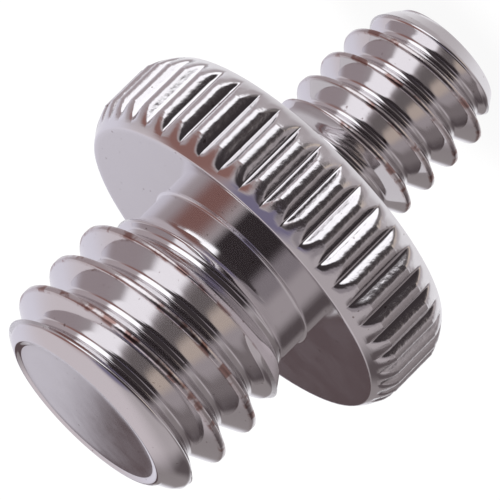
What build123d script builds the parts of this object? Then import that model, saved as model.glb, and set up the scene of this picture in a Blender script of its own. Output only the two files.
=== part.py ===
# Tripod thread adapter: one turned metal piece with a 3/8"-16 stud, a 1/4"-20 stud
# and a serrated flange between them. Sizes are in millimetres and degrees.
# The piece stands on the end of its small stud; Z runs up its axis to the large stud.
from build123d import *
from build123d.topology import SkipClean
import math
import os

NODE = "thread_adapter"

# Large stud, 16 turns to the inch, measured from the flange face outward
LARGE_MAJOR_RADIUS = 4.65
LARGE_PITCH = 25.4 / 16
LARGE_LENGTH = 7.7
LARGE_NECK_RADIUS = 3.63
LARGE_NECK_LENGTH = 1.25
LARGE_SHOULDER_ANGLE = 36.0
LARGE_GROOVE_START = 0.95
LARGE_GROOVE_ANGLE = 88.0
LARGE_NOSE_RADIUS = 3.54
LARGE_NOSE_STEP = 0.85
LARGE_NOSE_SWELL = 0.13
LARGE_TAPER_RADIUS = 4.42
LARGE_TAPER_ANGLE = 23.0
DISH_RADIUS = 3.3
DISH_DEPTH = 0.12

# Small stud, 20 turns to the inch, measured from the flange face outward
SMALL_MAJOR_RADIUS = 3.06
SMALL_PITCH = 25.4 / 20
SMALL_LENGTH = 7.7
SMALL_NECK_RADIUS = 2.24
SMALL_NECK_LENGTH = 1.1
SMALL_SHOULDER_ANGLE = 40.0
SMALL_GROOVE_START = 0.85
SMALL_GROOVE_ANGLE = -105.0
SMALL_NOSE_RADIUS = 2.3
SMALL_NOSE_STEP = 0.5
SMALL_TAPER_RADIUS = 2.62
SMALL_TAPER_ANGLE = 28.0

# Flange between the studs
FLANGE_RADIUS = 7.4
FLANGE_THICKNESS = 3.8
BEVEL_WIDTH = 0.55
BEVEL_LENGTH = 0.95
EDGE_WIDTH = 0.15
EDGE_DEPTH = 0.18
SEAT_INNER_RADIUS = 4.8
SERRATION_COUNT = 45
SERRATION_DEPTH = 0.36
SERRATION_HALF_ANGLE = 45.0
SERRATION_FIRST_ANGLE = 4.75

# Unified thread form, as shares of the pitch and of the sharp thread height
FLANK_ANGLE = 30.0
CREST_FLAT_SHARE = 1 / 8
DEPTH_SHARE = 17 / 24
CREST_SECTORS = 12

# Cutters and stock reach this far past the surface they meet
WALL_CLEARANCE = 0.15
CUTTER_MARGIN = 0.1
OVERLAP = 1.0


def tangent(degrees):
    return math.tan(math.radians(degrees))


def turned(outline):
    """Solid turned about Z from a closed outline of radius and height points."""
    return revolve(make_face(Plane.XZ * outline), axis=Axis.Z)


def swollen_middle(start, end, swell):
    """Point half way between two others, pushed out to the right of the way by the swell."""
    run = end[0] - start[0]
    rise = end[1] - start[1]
    chord = math.hypot(run, rise)
    return (
        (start[0] + end[0]) / 2 + swell * rise / chord,
        (start[1] + end[1]) / 2 - swell * run / chord,
    )


def crest_bar(radius, length):
    """Round bar with its wall in equal sectors, so that crest lands are short faces."""
    sector = 360 / CREST_SECTORS
    wall = Curve() + [CenterArc((0, 0), radius, i * sector, sector) for i in range(CREST_SECTORS)]
    return Pos(0, 0, -OVERLAP) * extrude(make_face(wall), amount=length + OVERLAP, clean=False)


def stud_envelope(major, neck, neck_length, shoulder_angle, lead_in_angle, end_points):
    """Turned limit of a stud: neck, shoulder cone, lead-in cone, then the points of its end."""
    wall = major + WALL_CLEARANCE
    shoulder_top = neck_length + (wall - neck) / tangent(shoulder_angle)
    lead_in = end_points[0]
    return turned(Polyline(
        (0, -OVERLAP),
        (neck, -OVERLAP),
        (neck, neck_length),
        (wall, shoulder_top),
        (wall, lead_in[1] - (wall - lead_in[0]) / tangent(lead_in_angle)),
        *end_points,
        close=True,
    ))


def helix_path(pitch, radius, start, travel):
    """Right-hand helix made of one edge a turn, rising at least the travel."""
    turn = Helix(pitch=pitch, height=pitch, radius=radius)
    return Wire([Pos(0, 0, start + i * pitch) * turn for i in range(math.ceil(travel / pitch))])


def groove_cutter(major, pitch, length, start, angle):
    """Helical cutter with a flat root; it leaves the crest flats of the thread."""
    sharp_height = pitch / (2 * tangent(FLANK_ANGLE))
    root = major - DEPTH_SHARE * sharp_height
    outside = major + CUTTER_MARGIN
    wide = pitch * (1 - CREST_FLAT_SHARE) / 2 + CUTTER_MARGIN * tangent(FLANK_ANGLE)
    narrow = wide - (outside - root) * tangent(FLANK_ANGLE)
    section = Plane.XZ * make_face(Polyline(
        (root, start - narrow),
        (outside, start - wide),
        (outside, start + wide),
        (root, start + narrow),
        close=True,
    ))
    travel = length + wide + CUTTER_MARGIN - start
    path = helix_path(pitch, root, start, travel)
    return Rot(0, 0, angle) * sweep(section, path=path, is_frenet=True, clean=False)


def large_stud():
    """3/8 inch stud on its flange face, with a rounded nose and a shallow dish in its end."""
    lead_in = (LARGE_TAPER_RADIUS, LARGE_LENGTH - LARGE_NOSE_STEP)
    lip = (LARGE_NOSE_RADIUS, LARGE_LENGTH)
    floor = LARGE_LENGTH - DISH_DEPTH
    middle = swollen_middle(lead_in, lip, LARGE_NOSE_SWELL)
    envelope = stud_envelope(
        LARGE_MAJOR_RADIUS, LARGE_NECK_RADIUS, LARGE_NECK_LENGTH, LARGE_SHOULDER_ANGLE,
        LARGE_TAPER_ANGLE, [lead_in, middle, lip, (DISH_RADIUS, floor), (0, floor)])
    groove = groove_cutter(
        LARGE_MAJOR_RADIUS, LARGE_PITCH, LARGE_LENGTH, LARGE_GROOVE_START, LARGE_GROOVE_ANGLE)
    return (crest_bar(LARGE_MAJOR_RADIUS, LARGE_LENGTH) & envelope) - groove


def small_stud():
    """1/4 inch stud on its flange face, with a coned nose and a flat end."""
    lead_in = (SMALL_TAPER_RADIUS, SMALL_LENGTH - SMALL_NOSE_STEP)
    envelope = stud_envelope(
        SMALL_MAJOR_RADIUS, SMALL_NECK_RADIUS, SMALL_NECK_LENGTH, SMALL_SHOULDER_ANGLE,
        SMALL_TAPER_ANGLE, [lead_in, (SMALL_NOSE_RADIUS, SMALL_LENGTH), (0, SMALL_LENGTH)])
    groove = groove_cutter(
        SMALL_MAJOR_RADIUS, SMALL_PITCH, SMALL_LENGTH, SMALL_GROOVE_START, SMALL_GROOVE_ANGLE)
    return (crest_bar(SMALL_MAJOR_RADIUS, SMALL_LENGTH) & envelope) - groove


def serration_cutter():
    """Straight V cutter for the first groove in the flange rim."""
    root = FLANGE_RADIUS - SERRATION_DEPTH
    outside = FLANGE_RADIUS + CUTTER_MARGIN
    half_width = (outside - root) * tangent(SERRATION_HALF_ANGLE)
    section = make_face(Polyline(
        (root, 0),
        (outside, -half_width),
        (outside, half_width),
        close=True,
    ))
    return Rot(0, 0, SERRATION_FIRST_ANGLE) * extrude(section, amount=FLANGE_THICKNESS)


def flange():
    """Disc from height zero upward: a plain hub in a rim with bevelled edges and V grooves.

    The rim's flat faces are the seats for mating parts and clear the larger thread.
    """
    top = FLANGE_THICKNESS
    face_radius = FLANGE_RADIUS - BEVEL_WIDTH
    edge_radius = face_radius + EDGE_WIDTH
    rim = turned(Polyline(
        (SEAT_INNER_RADIUS, 0),
        (face_radius, 0),
        (edge_radius, EDGE_DEPTH),
        (FLANGE_RADIUS, BEVEL_LENGTH),
        (FLANGE_RADIUS, top - BEVEL_LENGTH),
        (edge_radius, top - EDGE_DEPTH),
        (face_radius, top),
        (SEAT_INNER_RADIUS, top),
        close=True,
    ))
    step = 360 / SERRATION_COUNT
    cutters = [Rot(0, 0, i * step) * serration_cutter() for i in range(SERRATION_COUNT)]
    hub = Cylinder(SEAT_INNER_RADIUS, top, align=(Align.CENTER, Align.CENTER, Align.MIN))
    return (rim - cutters) + hub


def thread_adapter():
    """Small stud down, flange on it, large stud up; the lowest point is at height zero."""
    lower = Pos(0, 0, SMALL_LENGTH) * Rot(180, 0, 0) * small_stud()
    middle = Pos(0, 0, SMALL_LENGTH) * flange()
    upper = Pos(0, 0, SMALL_LENGTH + FLANGE_THICKNESS) * large_stud()
    return middle + [lower, upper]


os.makedirs("parts", exist_ok=True)
with SkipClean():
    adapter = thread_adapter()
adapter.label = NODE
export_step(adapter, f"parts/{NODE}.step")
print(NODE, "volume", round(adapter.volume, 2), "valid", adapter.is_valid)
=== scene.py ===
# Tripod thread adapter in bright plated metal: a 3/8 inch stud, a serrated flange and
# a 1/4 inch stud on one axis. Shape sizes are in millimetres and become metres in the mesh.
import bpy
import math
import random
from mathutils import Matrix, Vector


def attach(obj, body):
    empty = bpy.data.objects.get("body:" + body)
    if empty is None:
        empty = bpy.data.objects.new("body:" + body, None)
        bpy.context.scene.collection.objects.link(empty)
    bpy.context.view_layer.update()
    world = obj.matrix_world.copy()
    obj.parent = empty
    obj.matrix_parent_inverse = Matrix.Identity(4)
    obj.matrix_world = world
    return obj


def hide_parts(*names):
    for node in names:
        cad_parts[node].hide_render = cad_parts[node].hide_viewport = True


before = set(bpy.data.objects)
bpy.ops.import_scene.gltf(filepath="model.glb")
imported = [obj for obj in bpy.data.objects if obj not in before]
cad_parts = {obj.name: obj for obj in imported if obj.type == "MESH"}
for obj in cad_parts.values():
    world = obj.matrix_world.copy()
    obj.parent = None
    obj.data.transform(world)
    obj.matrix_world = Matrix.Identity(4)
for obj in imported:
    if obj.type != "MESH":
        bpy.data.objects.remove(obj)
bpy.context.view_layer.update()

NODE = "thread_adapter"
MM = 0.001

# Large stud, measured from the front face of the flange. The nose follows a curve through
# three points of radius and height.
LARGE = {
    "major": 4.65,
    "pitch": 25.4 / 16,
    "length": 7.7,
    "neck": 3.63,
    "neck_length": 1.25,
    "shoulder_angle": 36.0,
    "groove_start": 0.95,
    "groove_angle": 88.0,
    "nose_points": [(4.42, 6.85), (4.15, 7.34), (3.54, 7.7)],
    "lead_in_angle": 23.0,
    "fillet": 0.12,
}

# Small stud, measured from the back face of the flange
SMALL = {
    "major": 3.06,
    "pitch": 25.4 / 20,
    "length": 7.7,
    "neck": 2.24,
    "neck_length": 1.1,
    "shoulder_angle": 40.0,
    "groove_start": 0.85,
    "groove_angle": -105.0,
    "nose_points": [(2.62, 7.2), (2.46, 7.45), (2.3, 7.7)],
    "lead_in_angle": 28.0,
    "fillet": 0.1,
}

# Thread form, shared by both studs
FLANK_ANGLE = 30.0
CREST_FLAT_SHARE = 1 / 8
DEPTH_SHARE = 17 / 24
TURNED_ROUNDING = 0.08
CREST_ROUNDING = 0.05
ROOT_ROUNDING = 0.12
RUN_OUT_ROUNDING = 0.05

# Ends of the studs, from the rim inward: the large one's lip, as radius and depth below the
# end, falls into a dish with a faint dome. The small one is flat.
LIP = [(3.5, 0.0), (3.46, 0.002), (3.41, 0.015), (3.35, 0.038), (3.29, 0.054)]
DISH_RADIUS = 3.24
DISH_DEPTH = 0.06
DISH_DOME = 0.012
DISH_SHARES = [1.0, 0.9, 0.75, 0.6, 0.45, 0.3, 0.15, 0.0]
SMALL_END_RADII = [2.27, 2.2, 1.4, 0.5, 0.0]

# Flange, which lies between the studs
FLANGE_THICKNESS = 3.8
FLANGE_BACK = SMALL["length"]
FLANGE_FRONT = FLANGE_BACK + FLANGE_THICKNESS
FLANGE_RADIUS = 7.4
FACE_RADIUS = 6.85
FACE_EDGE_ROUNDING = 0.012
BEVEL_LENGTH = 0.95
BEVEL_SWELL = 0.06
BLANK_ALLOWANCE = 0.03

# Serrations of the flange's rim. Each differs a little from the next, up to the variations.
SERRATION_COUNT = 45
SERRATION_DEPTH = 0.36
SERRATION_HALF_ANGLE = 45.0
SERRATION_FIRST_ANGLE = 4.75
SERRATION_SEED = 7
DEPTH_VARIATION = 0.02
HALF_ANGLE_VARIATION = 1.5
SHIFT_VARIATION = 0.12
RIDGE_ROUNDING = 0.63
ROOT_RADIUS = 0.05
BEVEL_ROUNDING = 0.1
SERRATION_STEP = 360 / SERRATION_COUNT
HALF_LAND = math.radians(SERRATION_STEP / 2) * FLANGE_RADIUS

# Mesh of the studs: columns round the axis, rows set off from the edges of root and crest,
# and where the rows of the thread start, those of the foot follow, and the end begins
STUD_COLUMNS = 240
ROOT_FLAT_SHARE = 0.45
ROOT_ROWS = [0.0, 0.05, 0.12]
CREST_ROWS = [-0.05, -0.02, 0.01]
FIRST_HEIGHT = 0.35
FOOT_HEIGHTS = [0.2, 0.12, 0.075, 0.035, 0.01]
FOOT_MARGIN = 0.3
END_MARGIN = 0.02
ROW_CLEARANCE = 0.012
TURNS_BELOW = 3

# Mesh of the flange: face rings inside the edge, bevel rows as shares of its width, and
# columns as shares of the way from a groove's middle to its edge
FACE_RINGS = [0.6, 0.25, 0.06]
BEVEL_ROWS = [0.02, 0.05, 0.1, 0.2, 0.3, 0.37, 0.44, 0.52, 0.6, 0.68, 0.76, 0.84, 0.91, 0.97]
WALL_ROWS = 3
GROOVE_COLUMNS = [0.08, 0.28, 0.48, 0.65, 0.82, 0.96, 1.08]
NARROWEST_EDGE = 0.3
WIDEST_EDGE_SHARE = 0.43

# Slopes are measured over these short ways, in millimetres and degrees
HEIGHT_PROBE = 0.004
STUD_ANGLE_PROBE = 0.08
RIM_ANGLE_PROBE = 0.02


def tangent(degrees):
    return math.tan(math.radians(degrees))


def soft_min(a, b, width):
    """The smaller of two values, blended over the width where they cross."""
    near = max(width - abs(a - b), 0) / width
    return min(a, b) - near * near * width / 4


def soft_max(a, b, width):
    return -soft_min(-a, -b, width)


def quadratic(points, value):
    """First coordinate on the smooth curve through three points at the second coordinate."""
    (a, x), (b, y), (c, z) = points
    return (a * (value - y) * (value - z) / ((x - y) * (x - z))
            + b * (value - x) * (value - z) / ((y - x) * (y - z))
            + c * (value - x) * (value - y) / ((z - x) * (z - y)))


def envelope_radius(stud, height):
    """Radius of the turned blank before its thread is cut."""
    shoulder = stud["neck"] + (height - stud["neck_length"]) * tangent(stud["shoulder_angle"])
    radius = soft_max(stud["neck"], shoulder, TURNED_ROUNDING)
    step, start = stud["nose_points"][0]
    lead_in = step + (start - height) * tangent(stud["lead_in_angle"])
    if height > start:
        lead_in = quadratic(stud["nose_points"], height)
    radius = soft_min(radius, lead_in, TURNED_ROUNDING)
    return soft_min(radius, stud["major"], CREST_ROUNDING)


def thread_depth(stud):
    return DEPTH_SHARE * stud["pitch"] / (2 * tangent(FLANK_ANGLE))


def crest_edge_offset(stud):
    """How far a crest's edge lies along the axis from the middle of the groove beside it."""
    return stud["pitch"] * (1 - CREST_FLAT_SHARE) / 2


def groove_centre(stud, angle):
    """Height of the first turn's groove at an angle in degrees about the stud's own axis."""
    return stud["groove_start"] + stud["pitch"] * (angle - stud["groove_angle"]) / 360


def thread_radius(stud, angle, height):
    """Radius of the threaded bar."""
    pitch = stud["pitch"]
    root = stud["major"] - thread_depth(stud)
    offset = abs((height - groove_centre(stud, angle) + pitch / 2) % pitch - pitch / 2)
    flank = stud["major"] - (crest_edge_offset(stud) - offset) / tangent(FLANK_ANGLE)
    return soft_min(soft_max(root, flank, ROOT_ROUNDING), stud["major"], CREST_ROUNDING)


def stud_radius(stud, angle, height):
    """Radius of the finished stud, with the fillet at its foot."""
    radius = soft_min(
        envelope_radius(stud, height), thread_radius(stud, angle, height), RUN_OUT_ROUNDING)
    foot = stud["fillet"] - height
    if foot > 0:
        radius += stud["fillet"] - math.sqrt(stud["fillet"] ** 2 - foot ** 2)
    return radius


def polar(radius, angle, height):
    """Point at a radius and height, at an angle in degrees about Z."""
    turn = math.radians(angle)
    return Vector((radius * math.cos(turn), radius * math.sin(turn), height))


class Surface:
    """Collects points, their normals and faces, and turns them into one mesh."""

    def __init__(self):
        self.points = []
        self.normals = []
        self.faces = []

    def add(self, point, normal):
        self.points.append(point)
        self.normals.append(normal.normalized())
        return len(self.points) - 1

    def face(self, *corners):
        """A face of its different corners, if there are at least three."""
        kept = []
        for corner in corners:
            if corner not in kept:
                kept.append(corner)
        if len(kept) > 2:
            self.faces.append(kept)

    def turn_over(self, height):
        """Turns all that was added half round the X axis, so that its foot is at the height."""
        for i, (p, n) in enumerate(zip(self.points, self.normals)):
            self.points[i] = Vector((p.x, -p.y, height - p.z))
            self.normals[i] = Vector((n.x, -n.y, -n.z))


def thread_rows(stud):
    """Offsets from a groove centre over one pitch, close together at crest and root edges."""
    pitch = stud["pitch"]
    crest_edge = crest_edge_offset(stud)
    root_edge = crest_edge - thread_depth(stud) * tangent(FLANK_ANGLE)
    side = [root_edge * ROOT_FLAT_SHARE]
    side += [root_edge + row for row in ROOT_ROWS]
    side += [(root_edge + crest_edge) / 2]
    side += [crest_edge + row for row in CREST_ROWS]
    return [0.0] + side + [pitch / 2] + [pitch - x for x in reversed(side)]


def add_stud_point(surface, stud, base, angle, height):
    """Point of the threaded wall, with the normal that its slopes give."""
    radius = stud_radius(stud, angle, height)
    around = (stud_radius(stud, angle + STUD_ANGLE_PROBE, height)
              - stud_radius(stud, angle - STUD_ANGLE_PROBE, height))
    along = (stud_radius(stud, angle, height + HEIGHT_PROBE)
             - stud_radius(stud, angle, height - HEIGHT_PROBE)) / (2 * HEIGHT_PROBE)
    slope = around / math.radians(2 * STUD_ANGLE_PROBE) / radius
    turn = math.radians(angle)
    cosine, sine = math.cos(turn), math.sin(turn)
    normal = Vector((cosine + slope * sine, sine - slope * cosine, -along))
    return surface.add(polar(radius, angle, base + height), normal)


def add_stud_column(surface, stud, base, angle):
    """Lowest point, highest point and numbered thread rows of one column of the wall."""
    last_height = stud["length"] - END_MARGIN
    low = add_stud_point(surface, stud, base, angle, FIRST_HEIGHT)
    high = add_stud_point(surface, stud, base, angle, last_height)
    offsets = thread_rows(stud)
    turns = math.ceil((stud["length"] + 2 * stud["pitch"]) / stud["pitch"])
    rows = {}
    for turn in range(-TURNS_BELOW, turns + 1):
        for row, offset in enumerate(offsets):
            height = groove_centre(stud, angle) + turn * stud["pitch"] + offset
            if FIRST_HEIGHT + ROW_CLEARANCE < height < last_height - ROW_CLEARANCE:
                number = turn * len(offsets) + row
                rows[number] = add_stud_point(surface, stud, base, angle, height)
    return low, high, rows


def join_columns(surface, columns, rows_per_turn):
    """Faces between the columns of a thread, whose rows climb by one turn on the way round."""
    first_row = min(min(rows) for low, high, rows in columns) - rows_per_turn - 1
    last_row = max(max(rows) for low, high, rows in columns) + rows_per_turn + 1

    def corner(column, row):
        if column == STUD_COLUMNS:
            column, row = 0, row + rows_per_turn
        low, high, rows = columns[column]
        if row in rows:
            return rows[row]
        return low if row < min(rows) else high

    for column in range(STUD_COLUMNS):
        for row in range(first_row, last_row):
            surface.face(
                corner(column, row), corner(column + 1, row),
                corner(column + 1, row + 1), corner(column, row + 1))


def add_stud_foot(surface, stud, base, ring):
    """Neck and fillet below a ring. Returns the outer ring of the foot on the flange face."""
    angles = [column * 360 / STUD_COLUMNS for column in range(STUD_COLUMNS)]
    for height in FOOT_HEIGHTS:
        lower = [add_stud_point(surface, stud, base, angle, height) for angle in angles]
        join(surface, lower, ring)
        ring = lower
    upward = Vector((0, 0, 1))
    for radius in (stud["neck"] + stud["fillet"], stud["neck"] + FOOT_MARGIN):
        lower = [surface.add(polar(radius, angle, base), upward) for angle in angles]
        join(surface, lower, ring)
        ring = lower
    return ring


def add_stud(surface, stud, base, end_profile):
    """Threaded stud standing on height base. Returns the ring of its foot on the flange face.

    Its rows follow the helix between the neck and the end, so that crests stay crisp.
    """
    columns = [
        add_stud_column(surface, stud, base, column * 360 / STUD_COLUMNS)
        for column in range(STUD_COLUMNS)]
    join_columns(surface, columns, len(thread_rows(stud)))
    foot = add_stud_foot(surface, stud, base, [low for low, high, rows in columns])
    close_end(surface, [high for low, high, rows in columns], end_profile, base)
    return foot


def join(surface, lower, upper):
    """Band of four-cornered faces between two rings of as many points."""
    count = len(lower)
    for i in range(count):
        j = (i + 1) % count
        surface.face(lower[i], lower[j], upper[j], upper[i])


def close_end(surface, ring, profile, base):
    """End face of a stud: turned rings from the rim inward, closed at the axis."""
    count = len(ring)
    step = 360 / count
    last = len(profile) - 1
    for i, (radius, height) in enumerate(profile):
        before = profile[max(i - 1, 0)]
        after = profile[min(i + 1, last)]
        run, rise = after[0] - before[0], after[1] - before[1]
        if radius == 0:
            tip = surface.add(Vector((0, 0, base + height)), Vector((0, 0, 1)))
            for k in range(count):
                surface.face(ring[k], ring[(k + 1) % count], tip)
            return
        upper = []
        for k in range(count):
            angle = k * step
            outward = polar(rise, angle, -run)
            upper.append(surface.add(polar(radius, angle, base + height), outward))
        join(surface, ring, upper)
        ring = upper


def make_serration_forms():
    """Depth, half angle and shift of each groove: small differences, the same on each run."""
    chance = random.Random(SERRATION_SEED)
    forms = []
    for _ in range(SERRATION_COUNT):
        forms.append((
            SERRATION_DEPTH + chance.uniform(-DEPTH_VARIATION, DEPTH_VARIATION),
            SERRATION_HALF_ANGLE + chance.uniform(-HALF_ANGLE_VARIATION, HALF_ANGLE_VARIATION),
            chance.uniform(-SHIFT_VARIATION, SHIFT_VARIATION)))
    return forms


SERRATION_FORMS = make_serration_forms()


def groove_wall(number, angle):
    """Radius on the V wall of one groove with a rounded root, rising on both sides of it."""
    depth, half_angle, shift = SERRATION_FORMS[number % SERRATION_COUNT]
    middle = SERRATION_FIRST_ANGLE + number * SERRATION_STEP + shift
    distance = math.hypot(math.radians(angle - middle) * FLANGE_RADIUS, ROOT_RADIUS)
    return FLANGE_RADIUS - depth + distance / tangent(half_angle)


def serration_radius(angle):
    """Radius of the pressed rim: V grooves with rounded ridges between them."""
    number = math.floor((angle - SERRATION_FIRST_ANGLE) / SERRATION_STEP)
    return soft_min(
        groove_wall(number, angle), groove_wall(number + 1, angle), RIDGE_ROUNDING)


def groove_edge(radius):
    """Degrees from a groove's middle to its edge on a profile of this radius."""
    wall = (radius - FLANGE_RADIUS + SERRATION_DEPTH) * tangent(SERRATION_HALF_ANGLE)
    round_part = RIDGE_ROUNDING * tangent(SERRATION_HALF_ANGLE) / 2
    edge = wall
    if wall > HALF_LAND - round_part:
        edge = HALF_LAND - math.sqrt(max(FLANGE_RADIUS - radius, 0) * 2 * round_part)
    degrees = math.degrees(edge / FLANGE_RADIUS)
    return min(max(degrees, NARROWEST_EDGE), WIDEST_EDGE_SHARE * SERRATION_STEP)


def rim_angles(radius):
    """Angles of the mesh columns at a profile radius, close together at groove edges."""
    edge = groove_edge(radius)
    side = [edge * share for share in GROOVE_COLUMNS]
    steps = [0.0] + side + [SERRATION_STEP / 2] + [SERRATION_STEP - x for x in reversed(side)]
    return [SERRATION_FIRST_ANGLE + number * SERRATION_STEP + step
            for number in range(SERRATION_COUNT) for step in steps]


def bevel_points():
    """Swollen bevel from the face's edge outward, as radius and depth below the face."""
    width = FLANGE_RADIUS - FACE_RADIUS
    chord = math.hypot(width, BEVEL_LENGTH)
    points = [(FACE_RADIUS - FACE_EDGE_ROUNDING, FACE_EDGE_ROUNDING)]
    for share in BEVEL_ROWS:
        swell = 4 * BEVEL_SWELL * share * (1 - share)
        radius = FACE_RADIUS + width * share + swell * BEVEL_LENGTH / chord
        depth = BEVEL_LENGTH * share - swell * width / chord
        points.append((radius, depth))
    return points


def flange_profile():
    """Rim outline from the front face to the back face, as radius and height."""
    face = [FACE_RADIUS - ring for ring in FACE_RINGS]
    bevel = bevel_points()
    wall_height = FLANGE_THICKNESS - 2 * BEVEL_LENGTH
    points = [(radius, FLANGE_FRONT) for radius in face]
    points += [(radius, FLANGE_FRONT - depth) for radius, depth in bevel]
    for row in range(WALL_ROWS + 1):
        depth = BEVEL_LENGTH + wall_height * row / WALL_ROWS
        points.append((FLANGE_RADIUS + BLANK_ALLOWANCE, FLANGE_FRONT - depth))
    points += [(radius, FLANGE_BACK + depth) for radius, depth in reversed(bevel)]
    points += [(radius, FLANGE_BACK) for radius in reversed(face)]
    return points


def cut_rim(angle, radius):
    """Radius of the turned outline after the serrations are pressed in."""
    return soft_min(radius, serration_radius(angle), BEVEL_ROUNDING)


def add_rim_point(surface, angle, before, point, after):
    """Point of the cut outline, with the normal that its neighbours on the outline give."""
    radius, height = point
    here = cut_rim(angle, radius)
    around = (cut_rim(angle + RIM_ANGLE_PROBE, radius)
              - cut_rim(angle - RIM_ANGLE_PROBE, radius)) / math.radians(2 * RIM_ANGLE_PROBE)
    run = cut_rim(angle, after[0]) - cut_rim(angle, before[0])
    rise = after[1] - before[1]
    slope = around / here
    turn = math.radians(angle)
    cosine, sine = math.cos(turn), math.sin(turn)
    normal = Vector((-rise * (cosine + slope * sine), -rise * (sine - slope * cosine), run))
    return surface.add(polar(here, angle, height), normal)


def add_flange(surface):
    """Serrated rim with its two faces. Returns its inner rings, front and back."""
    profile = flange_profile()
    last = len(profile) - 1
    rings = []
    for i, point in enumerate(profile):
        before = profile[max(i - 1, 0)]
        after = profile[min(i + 1, last)]
        rings.append([
            add_rim_point(surface, angle, before, point, after) for angle in rim_angles(point[0])])
    for lower, upper in zip(rings, rings[1:]):
        join(surface, upper, lower)
    return rings[0], rings[-1]


def join_to_face(surface, inner, outer, up):
    """Flat ring between a stud's foot and the flange, which has more points around."""
    start = min(range(len(outer)), key=lambda i: (
        surface.points[outer[i]] - surface.points[inner[0]]).length)
    ratio = len(outer) // len(inner)
    for i in range(len(inner)):
        j = (i + 1) % len(inner)
        arc = [outer[(start + i * ratio + k) % len(outer)] for k in range(ratio + 1)]
        corners = [inner[i]] + arc + [inner[j]]
        if not up:
            corners.reverse()
        surface.face(*corners)


def large_end():
    """Lip and domed dish of the large stud, as radius and height."""
    length = LARGE["length"]
    lip = [(radius, length - depth) for radius, depth in LIP]
    dish = [(DISH_RADIUS * share, length - DISH_DEPTH + DISH_DOME * (1 - share * share))
            for share in DISH_SHARES]
    return lip + dish


def small_end():
    """Flat end of the small stud, as radius and height."""
    return [(radius, SMALL["length"]) for radius in SMALL_END_RADII]


def build_adapter():
    """The whole adapter as one mesh."""
    surface = Surface()
    small_foot = add_stud(surface, SMALL, 0, small_end())
    surface.turn_over(FLANGE_BACK)
    large_foot = add_stud(surface, LARGE, FLANGE_FRONT, large_end())
    front, back = add_flange(surface)
    join_to_face(surface, large_foot, front, True)
    # The small stud was turned over, so its ring runs the other way round.
    small_foot = [small_foot[0]] + small_foot[:0:-1]
    join_to_face(surface, small_foot, back, False)

    mesh = bpy.data.meshes.new("adapter")
    mesh.from_pydata([point * MM for point in surface.points], [], surface.faces)
    mesh.validate()
    mesh.update()
    for polygon in mesh.polygons:
        polygon.use_smooth = True
    mesh.normals_split_custom_set_from_vertices([tuple(n) for n in surface.normals])
    piece = bpy.data.objects.new("adapter", mesh)
    bpy.context.scene.collection.objects.link(piece)
    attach(piece, "root")
    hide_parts(NODE)
    return piece


class Nodes:
    """Short calls that add shader nodes and link them."""

    def __init__(self, tree):
        self.tree = tree

    def put(self, socket, value):
        if isinstance(value, bpy.types.NodeSocket):
            self.tree.links.new(value, socket)
        else:
            socket.default_value = value

    def math(self, operation, first, second=0.0):
        node = self.tree.nodes.new("ShaderNodeMath")
        node.operation = operation
        self.put(node.inputs[0], first)
        self.put(node.inputs[1], second)
        return node.outputs[0]

    def vector(self, operation, first, second=(0, 0, 0), output=0):
        node = self.tree.nodes.new("ShaderNodeVectorMath")
        node.operation = operation
        self.put(node.inputs[0], first)
        self.put(node.inputs[1], second)
        return node.outputs[output]

    def turned(self, vector, rotation):
        node = self.tree.nodes.new("ShaderNodeMapping")
        self.put(node.inputs["Vector"], vector)
        node.inputs["Rotation"].default_value = rotation.to_euler()
        return node.outputs[0]

    def fade(self, value, low, high, from_value=0.0, to_value=1.0):
        node = self.tree.nodes.new("ShaderNodeMapRange")
        node.interpolation_type = "SMOOTHSTEP"
        for name, number in (("From Min", low), ("From Max", high),
                             ("To Min", from_value), ("To Max", to_value)):
            node.inputs[name].default_value = number
        self.put(node.inputs["Value"], value)
        return node.outputs[0]

    def mix(self, share, first, second):
        node = self.tree.nodes.new("ShaderNodeMix")
        node.data_type = "RGBA"
        self.put(node.inputs["Factor"], share)
        self.put(node.inputs[6], first)
        self.put(node.inputs[7], second)
        return node.outputs[2]


# Finish of the plating
PLATING = (0.76, 0.74, 0.75, 1)
WORN_PLATING = (0.62, 0.57, 0.57, 1)
SPECK = (0.3, 0.25, 0.24, 1)
# Reddish-brown colour laid in lumps over the thread crests
REDDISH_PATCH = (0.34, 0.22, 0.2, 1)
POLISH = 0.07
DULLEST = 0.095
CREST_POLISH = 0.17
RIM_POLISH = 0.22

# Sizes of the lumps in the finish, and the depths of its relief
WEAR_SIZE = 1.6
REDDISH_PATCH_SIZE = 0.7
SPECK_SIZE = 0.22
RIPPLE_SIZE = 0.24
RIPPLE_DEPTH = 0.02
CREST_RIPPLE_SHARE = 0.4
WAVE_SIZE = 0.9
WAVE_DEPTH = 0.0012
MARK_SIZE = 0.2
MARK_DEPTH = 0.0001

# Noise values over which each change in the finish goes from none to full
WORN_FROM_TO = (0.3, 0.6)
LEAST_WEAR = 0.4
DULLED_FROM_TO = (0.35, 0.65)
REDDISH_PATCH_FROM_TO = (0.5, 0.62)
SPECKED_FROM_TO = (0.74, 0.8)
SPECK_STRENGTH = 0.8

# Where the finish changes: from none to full over these radii or heights
LARGE_CREST_RADII = (4.5, 4.62)
LARGE_THREAD_HEIGHTS = (12.3, 12.6)
SMALL_CREST_RADII = (2.94, 3.03)
SMALL_THREAD_HEIGHTS = (7.3, 7.1)
RIM_RADII = (7.1, 7.3)


def noise(nodes, place, size, detail=1.0):
    """Soft noise from 0 to 1 whose lumps are about the size, in millimetres."""
    node = nodes.tree.nodes.new("ShaderNodeTexNoise")
    nodes.put(node.inputs["Vector"], place)
    node.inputs["Scale"].default_value = 1 / (size * MM)
    node.inputs["Detail"].default_value = detail
    return node.outputs[0]


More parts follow.
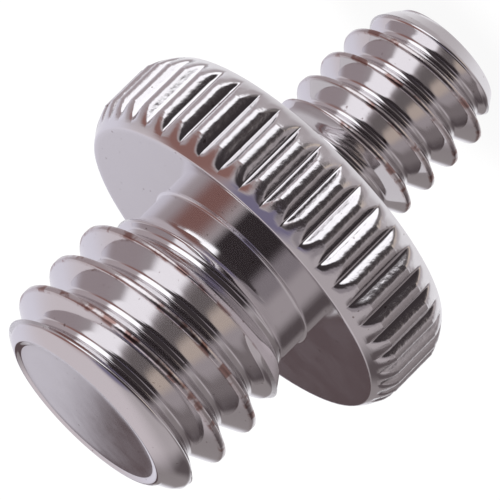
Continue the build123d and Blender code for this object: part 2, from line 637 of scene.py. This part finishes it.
def bumped(nodes, height, depth, strength=1.0, normal=None):
    """Surface normal after a bump whose full height is the depth, in millimetres."""
    node = nodes.tree.nodes.new("ShaderNodeBump")
    nodes.put(node.inputs["Strength"], strength)
    node.inputs["Distance"].default_value = depth * MM
    nodes.put(node.inputs["Height"], height)
    if normal:
        nodes.put(node.inputs["Normal"], normal)
    return node.outputs[0]


def share_over(nodes, value, limits):
    """Rises from none to one as the value goes from the first limit to the second."""
    return nodes.fade(value, limits[0] * MM, limits[1] * MM)


def crest_share(nodes, radius, height):
    """One on the crests of both threads, where handling has dulled the plating."""
    large = nodes.math(
        "MULTIPLY", share_over(nodes, radius, LARGE_CREST_RADII),
        share_over(nodes, height, LARGE_THREAD_HEIGHTS))
    small = nodes.math(
        "MULTIPLY", share_over(nodes, radius, SMALL_CREST_RADII),
        share_over(nodes, height, SMALL_THREAD_HEIGHTS))
    return nodes.math("MAXIMUM", large, small)


def plating_colour(nodes, place, crest, wear):
    """Plating, duller where worn, with reddish-brown patches on the crests and few dark specks."""
    colour = nodes.mix(wear, PLATING, WORN_PLATING)
    # Reddish-brown patches, in lumps of noise, on the crests only
    reddish_patches = nodes.fade(noise(nodes, place, REDDISH_PATCH_SIZE, 3.0), *REDDISH_PATCH_FROM_TO)
    colour = nodes.mix(nodes.math("MULTIPLY", crest, reddish_patches), colour, REDDISH_PATCH)
    specks = nodes.fade(noise(nodes, place, SPECK_SIZE), *SPECKED_FROM_TO, 0.0, SPECK_STRENGTH)
    return nodes.mix(specks, colour, SPECK)


def plating_roughness(nodes, patches, wear, rim):
    """Polished in patches, duller on worn crests and on the pressed rim."""
    polish = nodes.fade(patches, *DULLED_FROM_TO, POLISH, DULLEST)
    dulled = nodes.math("MULTIPLY", wear, CREST_POLISH - POLISH)
    pressed = nodes.math("MULTIPLY", rim, RIM_POLISH - POLISH)
    return nodes.math("ADD", polish, nodes.math("ADD", dulled, pressed))


def plating_relief(nodes, place, radius, height, crest, rim):
    """Ripples on the rim and crests, faint waves all over, and turning marks."""
    uneven = nodes.math("MAXIMUM", rim, nodes.math("MULTIPLY", crest, CREST_RIPPLE_SHARE))
    rippled = bumped(nodes, noise(nodes, place, RIPPLE_SIZE, 2.0), RIPPLE_DEPTH, uneven)
    wavy = bumped(nodes, noise(nodes, place, WAVE_SIZE), WAVE_DEPTH, 1.0, rippled)
    across = nodes.tree.nodes.new("ShaderNodeCombineXYZ")
    nodes.put(across.inputs["X"], radius)
    nodes.put(across.inputs["Y"], height)
    return bumped(nodes, noise(nodes, across.outputs[0], MARK_SIZE), MARK_DEPTH, 1.0, wavy)


def plating_material():
    """Bright nickel plating: dulled crests, few specks, turning marks and a rippled rim."""
    material = bpy.data.materials.new("bright_plating")
    material.use_nodes = True
    tree = material.node_tree
    nodes = Nodes(tree)
    place = tree.nodes.new("ShaderNodeTexCoord").outputs["Object"]
    parts = tree.nodes.new("ShaderNodeSeparateXYZ")
    nodes.put(parts.inputs[0], place)
    height = parts.outputs["Z"]
    radius = nodes.vector("LENGTH", nodes.vector("MULTIPLY", place, (1, 1, 0)), output=1)
    crest = crest_share(nodes, radius, height)
    rim = share_over(nodes, radius, RIM_RADII)
    patches = noise(nodes, place, WEAR_SIZE, 2.0)
    wear = nodes.math("MULTIPLY", crest, nodes.fade(patches, *WORN_FROM_TO, LEAST_WEAR, 1.0))

    shader = tree.nodes["Principled BSDF"]
    shader.inputs["Metallic"].default_value = 1.0
    nodes.put(shader.inputs["Base Color"], plating_colour(nodes, place, crest, wear))
    nodes.put(shader.inputs["Roughness"], plating_roughness(nodes, patches, wear, rim))
    relief = plating_relief(nodes, place, radius, height, crest, rim)
    nodes.put(shader.inputs["Normal"], relief)
    return material


# Camera, fitted to the photograph
CAMERA_ELEVATION = 16.5
CAMERA_ROLL = 135.2
CAMERA_DISTANCE = 250.0
CAMERA_SCALE = 27.6
IMAGE_SIZE = 500
SENSOR = 36.0
FLANGE_CENTRE_IN_IMAGE = (231.5, 267.9)


def camera_axes():
    """Right, up and backward directions of the camera, in the row frame, as columns."""
    tilt = math.radians(CAMERA_ELEVATION)
    roll = math.radians(CAMERA_ROLL)
    axis = Vector((math.cos(tilt) * math.cos(roll), math.cos(tilt) * math.sin(roll), -math.sin(tilt)))
    side = Vector((math.sin(roll), -math.cos(roll), 0))
    front = axis.cross(side)
    return Matrix((-side, -front, axis)) @ Matrix(((1, 0, 0), (0, -1, 0), (0, 0, -1)))


def place_camera():
    """Camera on the -Y side, turned so that the axis runs from upper right to lower left."""
    axes = camera_axes()
    right = (FLANGE_CENTRE_IN_IMAGE[0] - IMAGE_SIZE / 2) / CAMERA_SCALE
    down = (FLANGE_CENTRE_IN_IMAGE[1] - IMAGE_SIZE / 2) / CAMERA_SCALE
    place = Vector((0, 0, FLANGE_FRONT)) - axes @ Vector((right, -down, -CAMERA_DISTANCE))
    data = bpy.data.cameras.new("camera")
    data.sensor_width = SENSOR
    data.lens = CAMERA_SCALE * CAMERA_DISTANCE / IMAGE_SIZE * SENSOR
    data.clip_start = 0.01
    data.clip_end = 10
    camera = bpy.data.objects.new("camera", data)
    camera.matrix_world = Matrix.Translation(place * MM) @ axes.to_4x4()
    bpy.context.scene.collection.objects.link(camera)
    bpy.context.scene.camera = camera


# What the metal reflects. Each patch has a direction right of the lens and above it, a half
# width, a half height and a turn, all in degrees, then the softness of its edge as a share of
# its size, and its colour. The studio is turned with the picture. Later patches cover
# earlier ones.
SURROUNDINGS = (0.48, 0.44, 0.455)
STUDIO = {
    "lower left wall": (-105, -30, 50, 42, 0, 0.3, (0.68, 0.62, 0.65)),
    "left window": (-158, 6, 36, 34, 0, 0.35, (0.76, 0.74, 0.83)),
    "upper left wall": (-110, 46, 38, 27, 0, 0.4, (0.44, 0.38, 0.4)),
    "right back wall": (150, 15, 45, 42, 0, 0.3, (0.88, 0.87, 0.9)),
    "right card": (102, -28, 38, 16, 0, 0.4, (0.27, 0.24, 0.245)),
    "far gap right": (152, -50, 30, 25, 0, 0.45, (0.12, 0.1, 0.105)),
    "far gap": (-176, -35, 21, 18, 0, 0.4, (0.3, 0.27, 0.275)),
    "edge seen in flat faces": (-160, -27, 6.3, 6.3, 0, 0.07, (0.11, 0.08, 0.085)),
    "dark room": (14, 5, 44, 35, -10, 0.15, (0.045, 0.037, 0.04)),
    "lower haze": (20, -34, 26, 14, 0, 0.5, (0.3, 0.27, 0.29)),
    "beige wall": (54, 32, 15, 22, 0, 0.4, (0.2, 0.18, 0.18)),
    "warm card": (68, 16, 11, 15, -20, 0.6, (0.66, 0.57, 0.5)),
    "red cloth": (-68, 16, 26, 28, -10, 0.4, (0.28, 0.15, 0.135)),
    "violet card": (-36, -21, 22, 14, -10, 0.45, (0.2, 0.18, 0.27)),
    "large softbox": (-10, 60, 26, 21, 0, 0.15, (1.35, 1.35, 1.4)),
}


def studio_direction(right, above):
    """Unit vector in the picture's own axes: right, up and towards the camera."""
    turn, rise = math.radians(right), math.radians(above)
    return Vector((
        math.sin(turn) * math.cos(rise), math.sin(rise), math.cos(turn) * math.cos(rise)))


def patch_share(nodes, direction, patch):
    """One inside an oval patch of the studio, fading to nothing at its edge."""
    right, above, width, height, turn, softness = patch[:6]
    centre = studio_direction(right, above)
    sideways = studio_direction(right + 90, 0)
    upward = centre.cross(sideways)
    spin = Matrix.Rotation(math.radians(-turn), 3, "Z")
    local = nodes.turned(direction, spin @ Matrix((sideways, upward, centre)))
    size = (1 / math.sin(math.radians(width)), 1 / math.sin(math.radians(height)), 0)
    distance = nodes.vector("LENGTH", nodes.vector("MULTIPLY", local, size), output=1)
    inside = nodes.fade(distance, 1 - softness, 1 + softness, 1.0, 0.0)
    facing = nodes.math("GREATER_THAN", nodes.vector("DOT_PRODUCT", local, (0, 0, 1), 1), 0.0)
    return nodes.math("MULTIPLY", inside, facing)


def make_world():
    """Studio of soft lamps, cards and dark gaps round the part; the camera sees plain white."""
    world = bpy.data.worlds.new("studio")
    world.use_nodes = True
    tree = world.node_tree
    nodes = Nodes(tree)
    place = tree.nodes.new("ShaderNodeTexCoord")
    direction = nodes.turned(place.outputs["Generated"], camera_axes().transposed())
    colour = (*SURROUNDINGS, 1)
    for patch in STUDIO.values():
        colour = nodes.mix(patch_share(nodes, direction, patch), colour, (*patch[6], 1))
    path = tree.nodes.new("ShaderNodeLightPath")
    colour = nodes.mix(path.outputs["Is Camera Ray"], colour, (1, 1, 1, 1))
    nodes.put(tree.nodes["Background"].inputs["Color"], colour)
    bpy.context.scene.world = world


# Pale floor that the part stands on, and the soft lamp over it
FLOOR_SIZE = 4.0
FLOOR_COLOUR = (0.9, 0.9, 0.9, 1)
FLOOR_ROUGHNESS = 0.9
FLOOR_OWN_WHITE = 0.93
LAMP_SIZE = 0.3
LAMP_HEIGHT = 0.4
LAMP_POWER = 3.0


def floor_material():
    """Pale and plain. Most of what is seen of it is its own white, under a faint shadow."""
    material = bpy.data.materials.new("pale_floor")
    material.use_nodes = True
    tree = material.node_tree
    nodes = Nodes(tree)
    shader = tree.nodes["Principled BSDF"]
    shader.inputs["Base Color"].default_value = FLOOR_COLOUR
    shader.inputs["Roughness"].default_value = FLOOR_ROUGHNESS
    white = tree.nodes.new("ShaderNodeEmission")
    path = tree.nodes.new("ShaderNodeLightPath")
    seen = nodes.math("MAXIMUM", path.outputs["Is Camera Ray"], path.outputs["Is Glossy Ray"])
    seen = nodes.math("MAXIMUM", seen, path.outputs["Is Transmission Ray"])
    mixed = tree.nodes.new("ShaderNodeMixShader")
    nodes.put(mixed.inputs[0], nodes.math("MULTIPLY", seen, FLOOR_OWN_WHITE))
    nodes.put(mixed.inputs[1], shader.outputs[0])
    nodes.put(mixed.inputs[2], white.outputs[0])
    nodes.put(tree.nodes["Material Output"].inputs["Surface"], mixed.outputs[0])
    return material


def make_floor():
    """The studio's light comes from below too, so the floor neither blocks nor mirrors it."""
    bpy.ops.mesh.primitive_plane_add(size=FLOOR_SIZE)
    floor = bpy.context.object
    floor.name = "floor"
    floor.data.materials.append(floor_material())
    floor.visible_glossy = False
    floor.visible_shadow = False


def make_lamp():
    """Soft lamp straight above, for the shadow on the floor."""
    data = bpy.data.lights.new("soft lamp", "AREA")
    data.size = LAMP_SIZE
    data.energy = LAMP_POWER
    lamp = bpy.data.objects.new("soft lamp", data)
    lamp.location = (0, 0, LAMP_HEIGHT)
    lamp.visible_glossy = False
    bpy.context.scene.collection.objects.link(lamp)


adapter = build_adapter()
adapter.data.materials.append(plating_material())
place_camera()
make_world()
make_floor()
make_lamp()

bpy.context.scene.view_settings.view_transform = "Standard"
